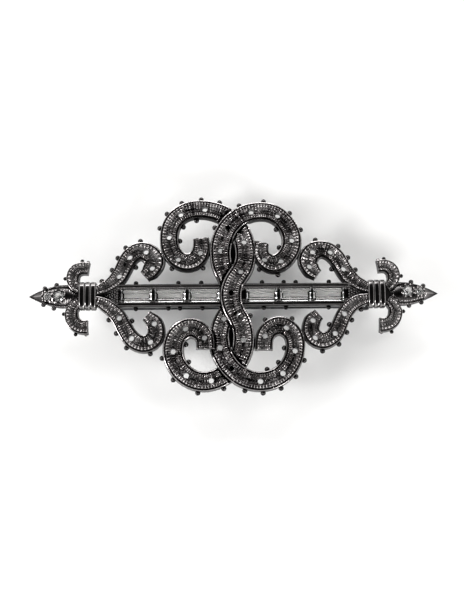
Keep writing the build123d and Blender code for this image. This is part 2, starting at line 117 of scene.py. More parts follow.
SCROLL_LB = [
    (-36.3, -1.1, 0.95), (-34.1, -1.3, 1.2), (-31.4, -2.6, 1.65), (-28.7, -5.1, 1.9),
    (-26.8, -8.5, 2), (-24.7, -11.2, 2.1), (-21.8, -12.1, 2.15), (-19.4, -10.3, 2.15),
    (-19.5, -7.3, 2.1), (-21.6, -5, 1.45),
]
SCROLL_RT = [
    (36.3, 1.1, 0.95), (34.4, 1.3, 1.2), (31.3, 2.45, 1.65), (28.3, 5.2, 2.05),
    (25.6, 9.6, 2.1), (22.7, 11.4, 2.1), (19.9, 10.7, 2.4), (18.8, 8.9, 2.5),
    (19.5, 6.4, 2.15), (21.1, 4.9, 1.5),
]
SCROLL_RB = [
    (36.3, -1.1, 0.95), (34.3, -1.15, 1.1), (30.9, -1.95, 1.6), (28.1, -4.2, 1.85),
    (26.4, -7.4, 1.9), (24.6, -10.5, 2), (21.7, -11.6, 2.1), (19.4, -9.9, 2.15),
    (19.5, -6.9, 2.1), (21.2, -5, 1.5),
]
PETAL_T = [
    (-38.2, 1.6, 1.1), (-39.4, 2.7, 1.35), (-40, 4.5, 1.6), (-39.3, 6.3, 1.6),
    (-37.8, 7, 1.55), (-36, 6.9, 1.5),
]
PETAL_B = [
    (-38.3, -1.6, 1.1), (-39.6, -2.8, 1.4), (-40.2, -4.8, 1.65), (-39.3, -6.9, 1.7),
    (-37.9, -7.7, 1.7), (-36.1, -7.8, 1.7),
]

# Stations in millimetres along each band: pierced holes, then beads on its two sides.
HOLES_A = (3.7, 10.6, 17, 23.8, 30.1, 44, 51.8, 57.9, 63.4, 70.2, 84.1, 90.6, 97.6, 104.5, 110.3)
LEFT_A = (5.8, 10.6, 18.9, 21.8, 25.2, 29.1, 33, 65.2, 82.1, 87, 92.1, 96.6)
RIGHT_A = (16, 21.8, 27.7, 93.1, 100.5)
HOLES_B = (4.7, 9.4, 15.6, 23, 29.9, 37.3, 43.3, 61.7, 69.2, 75.2, 83.2, 89.2, 95.7, 102.2, 108.7)
LEFT_B = (12.5, 20.6, 85.7, 90.7, 96.2)
RIGHT_B = (5.2, 7.8, 17.6, 21.5, 26.9, 31.9, 38.5, 80.2, 83.7, 87.2, 90.7, 94.2, 102.2, 106.2)
SIDE_SCROLLS = (
    ("side_scroll_left_top", SCROLL_LT, (9.1, 14.6, 19.2, 24.4), (4.5, 9.6, 13.1, 15.5, 17.8), (13.1,)),
    ("side_scroll_left_bottom", SCROLL_LB, (9.5, 15.5, 20.7, 25.9), (11.5,), (8, 12.5, 16, 19.8)),
    ("side_scroll_right_top", SCROLL_RT, (10.7, 16.1, 20.8, 25), (12.2,), (8.7, 12.7, 15.6, 19.4)),
    ("side_scroll_right_bottom", SCROLL_RB, (10, 15.5, 21.3, 26.1), (5.5, 10.5, 14, 16.6, 19.3), (14,)),
)

# Crossings, as (centre, reach): where band A passes under band B, and over it
A_UNDER_B = (((0.0, 19.2), 5.4), ((-0.6, -18.6), 5.4))
A_OVER_B = (((-0.5, 0.0), 8.6), ((-5.6, -12.6), 3.2))
# Narrow gaps between the two bands above and below the crossbar, closed by a thin web
LENS_GAPS = ((-0.3, 10.6), (-0.6, -10.4))


# ---------------------------------------------------------------- curves

def natural_cubic(t, values, at):
    """Natural cubic spline through values at t, read at other places."""
    n = len(t)
    h = np.diff(t)
    system = np.eye(n)
    right = np.zeros(n)
    for i in range(1, n - 1):
        system[i, i - 1:i + 2] = (h[i - 1], 2 * (h[i - 1] + h[i]), h[i])
        right[i] = 6 * ((values[i + 1] - values[i]) / h[i] - (values[i] - values[i - 1]) / h[i - 1])
    bend = np.linalg.solve(system, right)
    i = np.clip(np.searchsorted(t, at) - 1, 0, n - 2)
    a = t[i + 1] - at
    b = at - t[i]
    return (bend[i] * a ** 3 + bend[i + 1] * b ** 3) / (6 * h[i]) + (
        values[i] / h[i] - bend[i] * h[i] / 6) * a + (
        values[i + 1] / h[i] - bend[i + 1] * h[i] / 6) * b


def smooth(x):
    """0 below 0, 1 above 1, with an easy start and end."""
    x = np.clip(x, 0.0, 1.0)
    return x * x * (3 - 2 * x)


class Path:
    """Centreline of a band with its half width, read by length along it."""

    POINTS = 3000
    COARSE = 6         # every sixth point is close enough for distances
    BLOCK = 4000       # points measured at a time

    def __init__(self, points):
        table = np.array(points, float)
        chord = np.hypot(*np.diff(table[:, :2], axis=0).T)
        t = np.concatenate([[0.0], np.cumsum(chord)])
        fine = np.linspace(0, t[-1], self.POINTS)
        self.xy = np.stack([natural_cubic(t, table[:, k], fine) for k in (0, 1)], axis=1)
        part = np.interp(fine, t, np.arange(len(t)))
        whole = np.minimum(part.astype(int), len(t) - 2)
        ease = smooth(part - whole)
        self.half = table[whole, 2] + ease * (table[whole + 1, 2] - table[whole, 2])
        run = np.hypot(*np.diff(self.xy, axis=0).T)
        self.s = np.concatenate([[0.0], np.cumsum(run)])
        self.length = self.s[-1]
        along = np.gradient(self.xy, self.s, axis=0)
        along /= np.hypot(*along.T)[:, None]
        self.side = np.stack([-along[:, 1], along[:, 0]], axis=1)

    def at(self, s):
        """Centre, unit side vector and half width at lengths s."""
        s = np.atleast_1d(np.asarray(s, float))
        centre = np.stack([np.interp(s, self.s, self.xy[:, k]) for k in (0, 1)], axis=1)
        side = np.stack([np.interp(s, self.s, self.side[:, k]) for k in (0, 1)], axis=1)
        side /= np.hypot(*side.T)[:, None]
        return centre, side, np.interp(s, self.s, self.half)

    def distance(self, xy):
        """Distance of each point from the centreline, and the half width there."""
        coarse = self.xy[::self.COARSE]
        half = self.half[::self.COARSE]
        out = np.empty(len(xy))
        near = np.empty(len(xy))
        for start in range(0, len(xy), self.BLOCK):
            block = xy[start:start + self.BLOCK]
            gap = np.hypot(block[:, None, 0] - coarse[None, :, 0], block[:, None, 1] - coarse[None, :, 1])
            best = gap.argmin(axis=1)
            out[start:start + self.BLOCK] = gap[np.arange(len(block)), best]
            near[start:start + self.BLOCK] = half[best]
        return out, near


# ---------------------------------------------------------------- meshes

def new_object(name, vertices, faces):
    """A mesh object from millimetre vertices and index faces."""
    mesh = bpy.data.meshes.new(name)
    mesh.from_pydata((np.asarray(vertices) * MM).tolist(), [], faces)
    mesh.update()
    obj = bpy.data.objects.new(name, mesh)
    bpy.context.scene.collection.objects.link(obj)
    return obj


def ring_faces(rows, columns):
    """Quads of a tube of closed rings, and its two end caps."""
    faces = []
    for i in range(rows - 1):
        a = i * columns
        b = a + columns
        for j in range(columns):
            k = (j + 1) % columns
            faces.append((a + j, a + k, b + k, b + j))
    faces.append(tuple(reversed(range(columns))))
    faces.append(tuple((rows - 1) * columns + j for j in range(columns)))
    return faces


def fix_normals(obj):
    """Faces look outwards."""
    work = bmesh.new()
    work.from_mesh(obj.data)
    bmesh.ops.recalc_face_normals(work, faces=work.faces)
    work.to_mesh(obj.data)
    work.free()


class Kit:
    """Many small closed shapes gathered in one mesh."""

    def __init__(self):
        self.vertices = []
        self.faces = []

    def add(self, vertices, faces):
        """Adds a closed shape given by its own vertices and index faces."""
        first = len(self.vertices)
        self.vertices.extend(map(tuple, vertices))
        self.faces.extend(tuple(first + i for i in face) for face in faces)

    def rings(self, rings):
        """A closed tube through rings of equal point counts."""
        rings = np.asarray(rings)
        rows, columns, _ = rings.shape
        self.add(rings.reshape(-1, 3), ring_faces(rows, columns))

    def ball(self, x, y, z, radius, height=None, rows=9, columns=16):
        """A ball, or an ellipsoid whose vertical radius is height."""
        height = radius if height is None else height
        profile = []
        for i in range(rows):
            polar = math.pi * (i + 0.35) / (rows - 0.3)
            profile.append((radius * math.sin(polar), z - height * math.cos(polar)))
        self.lathe(x, y, profile, columns)

    def lathe(self, x, y, profile, columns=32):
        """Solid of revolution about a vertical axis; profile is (radius, z) upwards."""
        around = np.linspace(0, 2 * math.pi, columns, endpoint=False)
        self.rings([np.stack([x + r * np.cos(around), y + r * np.sin(around),
                              np.full(columns, z)], axis=1) for r, z in profile])

    def torus(self, x, y, z, major, minor, columns=28, rows=10):
        """A horizontal ring of round section."""
        vertices = []
        for i in range(columns):
            a = 2 * math.pi * i / columns
            for j in range(rows):
                b = 2 * math.pi * j / rows
                r = major + minor * math.cos(b)
                vertices.append((x + r * math.cos(a), y + r * math.sin(a), z + minor * math.sin(b)))
        faces = []
        for i in range(columns):
            for j in range(rows):
                k = (i + 1) % columns
                m = (j + 1) % rows
                faces.append((i * rows + j, k * rows + j, k * rows + m, i * rows + m))
        self.add(vertices, faces)

    def block(self, x0, x1, y0, y1, z0, z1, top_in=0.0, bottom_in=0.0):
        """Box whose top and bottom may be drawn in."""
        self.rings([[(x0 + d, y0 + d, z), (x1 - d, y0 + d, z), (x1 - d, y1 - d, z), (x0 + d, y1 - d, z)]
                    for z, d in ((z0, bottom_in), (z1, top_in))])

    def object(self, name):
        """The gathered shapes as one mesh object."""
        obj = new_object(name, self.vertices, self.faces)
        fix_normals(obj)
        return obj


def combine(obj, kit, operation):
    if not kit.vertices:
        return
    other = kit.object("tool")
    step = obj.modifiers.new("combine", "BOOLEAN")
    step.operation = operation
    step.solver = "MANIFOLD"
    step.object = other
    bpy.context.view_layer.update()
    result = bpy.data.meshes.new_from_object(obj.evaluated_get(bpy.context.evaluated_depsgraph_get()))
    obj.modifiers.clear()
    if len(result.polygons) == 0:
        print("WARNING empty boolean on", obj.name, operation)
    else:
        obj.data = result
    bpy.data.objects.remove(other)


def shade(obj, degrees=35):
    """Smooth shading except across sharp edges."""
    mesh = obj.data
    mesh.shade_smooth()
    mesh.set_sharp_from_angle(angle=math.radians(degrees))


# ---------------------------------------------------------------- bands

# Half of a band's top from the edge to the middle: (share of half width, height, rib height)
PROFILE = (
    (0.00, -0.75, 0.0), (0.01, -0.58, 0.0), (0.04, -0.48, 0.0), (0.08, -0.45, 0.0),
    (0.115, -0.50, 0.0), (0.14, -0.66, 0.0), (0.17, -0.78, 0.0), (0.21, -0.66, 0.0),
    (0.25, -0.34, 0.16), (0.31, -0.16, 0.24), (0.38, -0.08, 0.28), (0.45, -0.07, 0.31),
    (0.53, -0.11, 0.32), (0.61, -0.21, 0.32), (0.71, -0.40, 0.31), (0.84, -0.62, 0.28),
    (1.00, -0.70, 0.24),
)
FULL_HALF = 2.1        # half width of a band whose section has its full height
RIM_POINTS = 7         # first points of the profile, which make the rim
RIM_DROP = 0.75        # the outer edge below the top of the ribbed shoulder
LIP_LENGTH = 0.34      # rim across a free end
# Side wall from the rim down: (share of half width, share of depth)
WALL = ((1.03, 0.25), (1.06, 0.55), (1.07, 0.85), (0.98, 1.0))
BACK_SHARES = (0.75, 0.45, 0.15, -0.15, -0.45, -0.75)
BACK_HOLLOW = 0.24
RIB_PITCH = 0.64
ROWS_PER_RIB = 8
UNDER_DIP = 1.3        # how far a band dips where another lies over it
OVER_LIFT = 0.25
OVER_BACK = 1.65       # how far its back rises over the other band
HOLE_COLLAR_DROP = 0.86
HOLE_COLLAR_R = 0.17


def mirrored(section):
    """Columns of a symmetric section; section is (side position, height, rib) from edge to middle."""
    other = [(-u, z, rib) for u, z, rib in reversed(section) if u > 0]
    return np.array(list(section) + other).T


def rib_wave(s, phase):
    """Height of slightly uneven ribs along a band."""
    wander = 0.8 * np.sin(s * 0.9 + phase) + 0.5 * np.sin(s * 0.37 + 2 * phase)
    strength = 0.8 + 0.25 * np.sin(s * 0.53 + 1.3 * phase) + 0.15 * np.sin(s * 1.7 + phase)
    wave = np.cos(2 * math.pi * (s + 0.12 * wander) / RIB_PITCH)
    return strength * (1.3 * ((wave + 1) / 2) ** 1.8 - 0.65)


def crossing_press(xy, other, zones):
    """How far each point lies inside the other band's footprint, only near the zones."""
    press = np.zeros(len(xy))
    near = np.zeros(len(xy))
    for (x, y), reach in zones:
        gap = np.hypot(xy[:, 0] - x, xy[:, 1] - y)
        near = np.maximum(near, 1 - smooth((gap - reach) / 1.0))
    chosen = near > 0
    if chosen.any():
        distance, half = other.distance(xy[chosen])
        press[chosen] = near[chosen] * (1 - smooth((distance - half - 0.02) / 0.8))
    return press


def crossing_lift(xy, other, over, under):
    """Rise of a band's top and of its back at each point, where it crosses the other band."""
    flat = xy.reshape(-1, 2)
    above = crossing_press(flat, other, over).reshape(xy.shape[:2])
    below = crossing_press(flat, other, under).reshape(xy.shape[:2])
    return OVER_LIFT * above - UNDER_DIP * below, OVER_BACK * above


def top_relief(s, length, half, columns, ends, phase):
    """Height of each column of a band's top, with the rim carried across its free ends."""
    _, height, rib = columns
    scale = np.clip(half / FULL_HALF, 0.5, 1.1)
    relief = scale[:, None] * height + (scale * rib_wave(s, phase))[:, None] * rib
    rim_at, rim_height, _ = np.array(PROFILE[:RIM_POINTS]).T
    for free, away in zip(ends, (s, length - s)):
        if free:
            lip = np.where(away < LIP_LENGTH, np.interp(away / FULL_HALF, rim_at, rim_height), -np.inf)
            relief = np.maximum(relief, lip[:, None])
            face = np.where(away < 0.02, -RIM_DROP, np.inf)
            relief = np.minimum(relief, face[:, None])
    return relief


def band_shape(path, top, over=(), under=(), other=None, ends=(True, True), phase=0.0):
    """A ribbed band with rims. over and under are (centre, reach) zones against the other path."""
    s = np.linspace(0, path.length, int(path.length / (RIB_PITCH / ROWS_PER_RIB)))
    centre, side, half = path.at(s)
    columns = mirrored([(1 - share, z, rib) for share, z, rib in PROFILE])
    wall, depth = np.array(WALL).T
    back = np.array(BACK_SHARES)
    shares = np.concatenate([-wall, -back, wall[::-1]])
    depth = np.concatenate([depth, np.ones(len(back)), depth[::-1]])
    hollow = np.pad(BACK_HOLLOW * (1 - back ** 2 / 0.6), len(wall))

    def across(positions):
        """Plan position at each share of the half width, for every row."""
        return centre[:, None, :] + side[:, None, :] * (half[:, None] * positions)[:, :, None]

    xy_top = across(columns[0])
    xy_low = across(shares)
    rise, _ = crossing_lift(xy_top, other, over, under)
    z_top = top + rise + top_relief(s, path.length, half, columns, ends, phase)
    rise, back_rise = crossing_lift(xy_low, other, over, under)
    edge = top + rise - RIM_DROP - 0.05
    z_low = edge + (BAND_BACK + back_rise + hollow - edge) * depth
    kit = Kit()
    kit.rings(np.concatenate([np.dstack([xy_top, z_top]), np.dstack([xy_low, z_low])], axis=1))
    return kit


def add_beads(kit, path, stations, side, radius=BEAD_R):
    """Beads standing out of one side of a band."""
    for station in stations:
        centre, out, half = path.at(station)
        x, y = centre[0] + side * out[0] * (half[0] + BEAD_OUT)
        kit.ball(x, y, BEAD_Z, radius)


def trim_band(obj, path, top, holes, left, right):
    """Beads along a band's sides, and round holes through it, each in a small raised collar."""
    added = Kit()
    drills = Kit()
    add_beads(added, path, left, 1)
    add_beads(added, path, right, -1)
    for station in holes:
        centre, _, half = path.at(station)
        radius = min(HOLE_R, half[0] * 0.42)
        x, y = centre[0]
        added.torus(x, y, top - HOLE_COLLAR_DROP, radius + 0.06, HOLE_COLLAR_R)
        drills.lathe(x, y, [(radius, BAND_BACK - 3), (radius, top + 2)], 36)
    combine(obj, added, "UNION")
    combine(obj, drills, "DIFFERENCE")


def finish_piece(obj, node_name, material, degrees=38):
    """Shading, material, and the piece's place in the frame."""
    shade(obj, degrees)
    obj.data.materials.clear()
    obj.data.materials.append(material)
    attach(obj, ORNAMENT)
    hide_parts(node_name)


# ---------------------------------------------------------------- materials

TOP_ZONE_FROM = 11.0       # edges are rubbed bright and carry painted highlights only above this height, fully so above this one
TOP_ZONE_FULL = 11.4       # fully so above this one
LOW_TARNISH_AND_SHADE = 0.8      # how dark tarnish and painted shade make the plating below both
STEEP_ROUGHNESS = 0.32
GRAIN_SCALE = 2600.0   # fine grain of the casting
GRAIN_DEPTH = 0.012


def new_material(name):
    """A material with its node tree and its surface shader."""
    material = bpy.data.materials.new(name)
    material.use_nodes = True
    tree = material.node_tree
    shader = tree.nodes["Principled BSDF"]
    return material, tree, shader


def node(tree, kind, **values):
    """A shader node; each value is an input of that name, or else a setting."""
    made = tree.nodes.new(kind)
    for key, value in values.items():
        if key in made.inputs.keys():
            made.inputs[key].default_value = value
        else:
            setattr(made, key, value)
    return made


def ramp(tree, source, stops):
    """Colour ramp fed by a value; stops are (place, grey or colour)."""
    made = tree.nodes.new("ShaderNodeValToRGB")
    elements = made.color_ramp.elements
    while len(elements) < len(stops):
        elements.new(0.5)
    for element, (place, colour) in zip(elements, stops):
        element.position = place
        if not isinstance(colour, tuple):
            colour = (colour, colour, colour)
        element.color = (*colour, 1)
    tree.links.new(source, made.inputs["Fac"])
    return made.outputs["Color"]


def noise(tree, scale, detail=3.0):
    """Cloudy variation over the object, finer with a larger scale."""
    place = node(tree, "ShaderNodeTexCoord")
    made = node(tree, "ShaderNodeTexNoise", Scale=scale, Detail=detail, Roughness=0.6)
    tree.links.new(place.outputs["Object"], made.inputs["Vector"])
    return made.outputs["Fac"]


def mix(tree, factor, a, b):
    """Colour mix; a and b are sockets or colours."""
    made = tree.nodes.new("ShaderNodeMix")
    made.data_type = "RGBA"
    for value, socket in ((factor, made.inputs[0]), (a, made.inputs[6]), (b, made.inputs[7])):
        if isinstance(value, bpy.types.NodeSocket):
            tree.links.new(value, socket)
        else:
            socket.default_value = (*value, 1)
    return made.outputs[2]


def multiply(tree, a, b):
    """The product of two values."""
    made = node(tree, "ShaderNodeMath", operation="MULTIPLY")
    tree.links.new(a, made.inputs[0])
    tree.links.new(b, made.inputs[1])
    return made.outputs[0]


def by_height(tree, shape, low, high):
    """A value that goes from low to high between the two heights of the top zone."""
    parts = node(tree, "ShaderNodeSeparateXYZ")
    tree.links.new(shape.outputs["Position"], parts.inputs[0])
    made = node(tree, "ShaderNodeMapRange", **{"From Min": TOP_ZONE_FROM * MM, "From Max": TOP_ZONE_FULL * MM,
                                               "To Min": low, "To Max": high})
    tree.links.new(parts.outputs["Z"], made.inputs["Value"])
    return made.outputs["Result"]


def add_bumps(tree, shader, height, strength, depth):
    """Fine relief of the surface; depth is in millimetres."""
    bumps = node(tree, "ShaderNodeBump", Strength=strength, Distance=depth * MM)
    tree.links.new(height, bumps.inputs["Height"])
    tree.links.new(bumps.outputs["Normal"], shader.inputs["Normal"])


def metal(name, dark, light, rough, tarnish_and_shade, wear_and_highlight):
    """Plated metal: high edges worn bright with painted highlights, hollows darkened by patina and painted
    shade, steep walls painted dark as shade, and low parts darkened by tarnish and painted shade.
    """
    material, tree, shader = new_material(name)
    shader.inputs["Metallic"].default_value = 1.0
    shape = node(tree, "ShaderNodeNewGeometry")
    pointed = shape.outputs["Pointiness"]
    facing = node(tree, "ShaderNodeSeparateXYZ")
    tree.links.new(shape.outputs["True Normal"], facing.inputs[0])
    # Painted shade: steep walls are darkened.
    steep = ramp(tree, facing.outputs["Z"], [(0.12, 1.0), (0.42, 0.0)])
    # Patina and painted shade: creases and hollows are darkened.
    hollow = ramp(tree, pointed, [(0.38, 1.0), (0.49, 0.0)])
    # Worn plating and painted highlights: sharp edges high up are mixed towards the bright colour.
    edges = multiply(tree, ramp(tree, pointed, [(0.51, 0.0), (0.60, 1.0)]), by_height(tree, shape, 0.0, 1.0))
    bright = tuple(min(1.0, c * wear_and_highlight) for c in light)
    black = tuple(c * (1 - tarnish_and_shade) for c in dark)
    colour = ramp(tree, noise(tree, 420.0), [(0.32, dark), (0.68, light)])
    colour = mix(tree, edges, colour, bright)
    # Darkening towards black: painted shade on steep walls, patina and painted shade in hollows, tarnish and
    # painted shade low down.
    for cover in (hollow, steep, by_height(tree, shape, LOW_TARNISH_AND_SHADE, 0.0)):
        colour = mix(tree, cover, colour, black)
    tree.links.new(colour, shader.inputs["Base Color"])
    spread = ramp(tree, noise(tree, 900.0), [(0.3, rough[0]), (0.7, rough[1])])
    tree.links.new(mix(tree, steep, spread, (STEEP_ROUGHNESS,) * 3), shader.inputs["Roughness"])
    add_bumps(tree, shader, noise(tree, GRAIN_SCALE), 0.35, GRAIN_DEPTH)
    return material


def steel(name, colour, rough, direction):
    """Bright strip steel with fine grinding lines along one axis."""
    material, tree, shader = new_material(name)
    shader.inputs["Metallic"].default_value = 1.0
    place = node(tree, "ShaderNodeTexCoord")
    stretch = node(tree, "ShaderNodeMapping", Scale=direction)
    lines = node(tree, "ShaderNodeTexNoise", Scale=900.0, Detail=4.0, Roughness=0.65)
    tree.links.new(place.outputs["Object"], stretch.inputs["Vector"])
    tree.links.new(stretch.outputs["Vector"], lines.inputs["Vector"])
    stain = ramp(tree, noise(tree, 160.0, 5.0), [(0.35, tuple(c * 0.72 for c in colour)), (0.65, colour)])
    tree.links.new(stain, shader.inputs["Base Color"])
    spread = ramp(tree, lines.outputs["Fac"], [(0.3, rough * 0.7), (0.7, rough * 1.5)])
    tree.links.new(spread, shader.inputs["Roughness"])
    add_bumps(tree, shader, lines.outputs["Fac"], 0.25, 0.01)
    return material


def clear_stone():
    """Machine-cut glass with a faint wear haze."""
    material, tree, shader = new_material("clear_stone")
    shader.inputs["Transmission Weight"].default_value = 1.0
    shader.inputs["IOR"].default_value = 1.56
    shader.inputs["Base Color"].default_value = (0.995, 0.99, 0.985, 1)
    haze = ramp(tree, noise(tree, 700.0, 4.0), [(0.45, 0.0), (0.8, 0.06)])
    tree.links.new(haze, shader.inputs["Roughness"])
    return material


def foil():
    """Silver foil backing behind a stone, slightly yellowed in patches."""
    material, tree, shader = new_material("foil")
    shader.inputs["Metallic"].default_value = 0.2
    tint = ramp(tree, noise(tree, 500.0, 4.0), [(0.3, (0.93, 0.92, 0.90)), (0.7, (0.99, 0.985, 0.98))])
    tree.links.new(tint, shader.inputs["Base Color"])
    rough = ramp(tree, noise(tree, 1500.0), [(0.3, 0.30), (0.7, 0.48)])
    tree.links.new(rough, shader.inputs["Roughness"])
    return material


BLACKENED = (0.03, 0.0285, 0.028)
CAST = metal("cast_gunmetal", BLACKENED, (0.115, 0.109, 0.108), (0.11, 0.2), tarnish_and_shade=0.8, wear_and_highlight=5.0)
DARK_CAST = metal("dark_gunmetal", BLACKENED, (0.06, 0.057, 0.056), (0.12, 0.22), tarnish_and_shade=0.85, wear_and_highlight=2.0)
POLISHED = metal("polished_gunmetal", (0.06, 0.057, 0.056), (0.16, 0.154, 0.152), (0.08, 0.16),
                 tarnish_and_shade=0.6, wear_and_highlight=5.5)
GLASS = clear_stone()
FOIL = foil()
STRIP = steel("strip_steel", (0.36, 0.36, 0.375), 0.24, (0.05, 1.0, 1.0))
SPRING = steel("spring_steel", (0.28, 0.29, 0.33), 0.20, (0.05, 1.0, 1.0))
PIN = steel("pin_steel", (0.45, 0.45, 0.465), 0.16, (1.0, 0.05, 1.0))


# ---------------------------------------------------------------- scrollwork

def large_band(name, path, holes, left, right, over, under, other, phase):
    """One of the two interlaced bands."""
    obj = band_shape(path, BAND_TOP, over, under, other, phase=phase).object(name)
    trim_band(obj, path, BAND_TOP, holes, left, right)
    finish_piece(obj, name, CAST)


PATH_A = Path(BAND_A)
PATH_B = Path(BAND_B)
large_band("scroll_band_a", PATH_A, HOLES_A, LEFT_A, RIGHT_A, A_OVER_B, A_UNDER_B, PATH_B, 0.4)
large_band("scroll_band_b", PATH_B, HOLES_B, LEFT_B, RIGHT_B, A_UNDER_B, A_OVER_B, PATH_A, 2.1)

for index, (name, points, holes, left, right) in enumerate(SIDE_SCROLLS):
    path = Path(points)
    obj = band_shape(path, SCROLL_TOP, ends=(False, True), phase=1.7 * index).object(name)
    trim_band(obj, path, SCROLL_TOP, holes, left, right)
    finish_piece(obj, name, CAST)


# ---------------------------------------------------------------- crossbar

# Half of the channel's top from the edge to the middle: (inset, height, rib height)
BAR_SECTION = (
    (0.0, -0.35, 0.0), (0.02, -0.1, 0.0), (0.10, 0.12, 0.0), (0.22, 0.2, 0.0), (0.36, 0.12, 0.0),
    (0.46, -0.1, 0.0), (0.56, -0.3, 0.05), (0.66, -0.32, 0.08), (0.76, -0.1, 0.10), (0.88, 0.05, 0.08),
    (1.0, 0.0, 0.05), (1.3, -0.25, 0.04), (1.6, -0.5, 0.03), (2.0, -0.55, 0.03), (2.3, -0.55, 0.03),
)
BAR_RIB_PITCH = 0.45
TONGUE_LENGTH = 4.2
TONGUE_TIP = 0.35      # half width that the tongue narrows to


def along_x(x, y_top, z_top, half, low, corner, chamfer):
    """Cross-sections along X: a given top over a flat underside with chamfered corners."""
    turn = np.array([-1.0, -corner, 0.0, corner, 1.0])
    raised = np.array([1.0, 0.0, 0.0, 0.0, 1.0])
    y = np.concatenate([y_top, turn * half[:, None]], axis=1)
    z = np.concatenate([z_top, low[:, None] + raised * chamfer[:, None]], axis=1)
    return np.stack([np.broadcast_to(x[:, None], y.shape), y, z], axis=2)


def half_bar(side):
    """One half of the stone channel, ending in a pointed tongue."""
    x = np.arange(BAR_INNER_X[side], BAR_END_X + TONGUE_LENGTH, 0.09)
    taper = smooth((x - BAR_END_X + 0.4) / 5.0)
    half = BAR_HALF_WIDTH * (1 - taper) + TONGUE_TIP * taper
    share, height, rib = mirrored([(1 - inset / BAR_HALF_WIDTH, z, r) for inset, z, r in BAR_SECTION])
    end = smooth((x - BAR_END_X) / 1.2)
    ribs = np.cos(2 * math.pi * x / BAR_RIB_PITCH) * (1 + end)
    top = BAR_TOP + height * (1 - 0.4 * end[:, None]) + rib * ribs[:, None]
    top -= 0.9 * smooth((x - BAR_END_X + 0.2) / 3.5)[:, None]
    low = PLATE_TOP + 0.7 * smooth((x - BAR_END_X) / 0.3)
    kit = Kit()
    kit.rings(along_x(side * x, share * half[:, None], top, half, low, 0.94, np.full(len(x), 0.25)))
    return kit


def tapered_block(kit, x, levels):
    """Stack of rectangles about (x, 0): levels are (half length, half width, z) upwards."""
    kit.rings([[(x - a, -b, z), (x + a, -b, z), (x + a, b, z), (x - a, b, z)] for a, b, z in levels])


def stone_pockets():
    """Shapes that cut the stones' seats out of the bar."""
    a = STONE_LENGTH / 2
    b = STONE_WIDTH / 2
    pockets = Kit()
    for x in STONE_X:
        tapered_block(pockets, x, [(a - 0.8, 0.8, STONE_BOTTOM - 0.15),
                                   (a + 0.03, b + 0.03, STONE_GIRDLE - 0.25),
                                   (a + 0.06, b + 0.06, STONE_GIRDLE + 0.3),
                                   (a + 0.2, b + 0.2, BAR_TOP + 1)])
    return pockets


def bar_beads():
    """Beads along the bar's two sides."""
    beads = Kit()
    for x, y in BAR_BEADS:
        beads.ball(x, y, BEAD_Z, BAR_BEAD_R)
    return beads


def tongue_grains():
    """Rows of granules on the two tongues, shorter towards their tips."""
    grains = Kit()
    for side in (-1, 1):
        for row, reach in enumerate(GRANULE_ROWS):
            x = BAR_END_X + 0.45 + 0.62 * row
            z = BAR_TOP - 0.2 - 0.13 * row
            for y in np.arange(-reach, reach + 0.01, GRANULE_PITCH):
                grains.ball(side * (x + 0.06 * math.sin(5 * y)), y, z, GRANULE_R, rows=6, columns=10)
    return grains


def stone_fences():
    """A fence with two small prongs at each end of each rectangular stone."""
    fences = Kit()
    for x in STONE_X:
        for end in (-1, 1):
            at = x + end * (STONE_LENGTH / 2 + 0.24)
            fences.block(at - 0.14, at + 0.14, -1.75, 1.75, BAR_TOP - 0.9, BAR_TOP + 0.1, 0.06)
            for edge in (-1, 1):
                fences.ball(at - end * 0.1, edge * 1.5, BAR_TOP + 0.02, 0.25, 0.2, rows=6, columns=10)
    return fences


def make_crossbar():
    """The stone channel in two halves, joined by a flat link behind the bands."""
    obj = half_bar(-1).object("bar")
    link = Kit()
    link.block(-4.3, 4.3, -2.3, 2.3, PLATE_TOP, BAND_BACK - 0.02, 0.1, 0.1)
    combine(obj, link, "UNION")
    combine(obj, half_bar(1), "UNION")
    for centre in LENS_GAPS:
        web = Kit()
        web.lathe(*centre, [(2.2, 9.8), (2.6, 10.1), (2.6, 10.5), (2.2, 10.7)])
        combine(obj, web, "UNION")
    combine(obj, stone_pockets(), "DIFFERENCE")
    for kit in (bar_beads(), tongue_grains(), stone_fences()):
        combine(obj, kit, "UNION")
    finish_piece(obj, "crossbar", DARK_CAST)


make_crossbar()


# ---------------------------------------------------------------- collars and finials

def squared(wave):
    """A sine or cosine pushed outwards, so that a circle becomes a rounded square."""
    return np.sign(wave) * np.abs(wave) ** 0.62


def make_collar(name, side):
    """Three glossy ridges wrapped round the stems, hollow inside."""
    offsets = np.linspace(0.01 - COLLAR_HALF, COLLAR_HALF - 0.01, 61)
    within = (np.mod(offsets + COLLAR_HALF, COLLAR_RIDGE) / COLLAR_RIDGE - 0.5) * 2
    bulge = np.sqrt(np.clip(1 - within ** 4, 0, 1))
    turn = np.linspace(0, 2 * math.pi, 48, endpoint=False)
    middle = side * COLLAR_X[side]
    rings = []
    for offset, b in zip(offsets, bulge):
        half = 3.2 + 0.35 * b
        high = 12.45 + 0.35 * b
        low = 9.1 - 0.3 * b
        y = half * squared(np.cos(turn))
        z = (high + low) / 2 + (high - low) / 2 * squared(np.sin(turn))
        rings.append(np.stack([np.full(len(turn), middle + offset), y, z], axis=1))
    kit = Kit()
    kit.rings(rings)
    obj = kit.object(name)
    bore = Kit()
    bore.block(middle - 3, middle + 3, -2.75, 2.75, BAND_BACK - 0.1, BAND_TOP - 0.25, 0.3, 0.1)
    combine(obj, bore, "DIFFERENCE")
    finish_piece(obj, name, POLISHED, degrees=50)


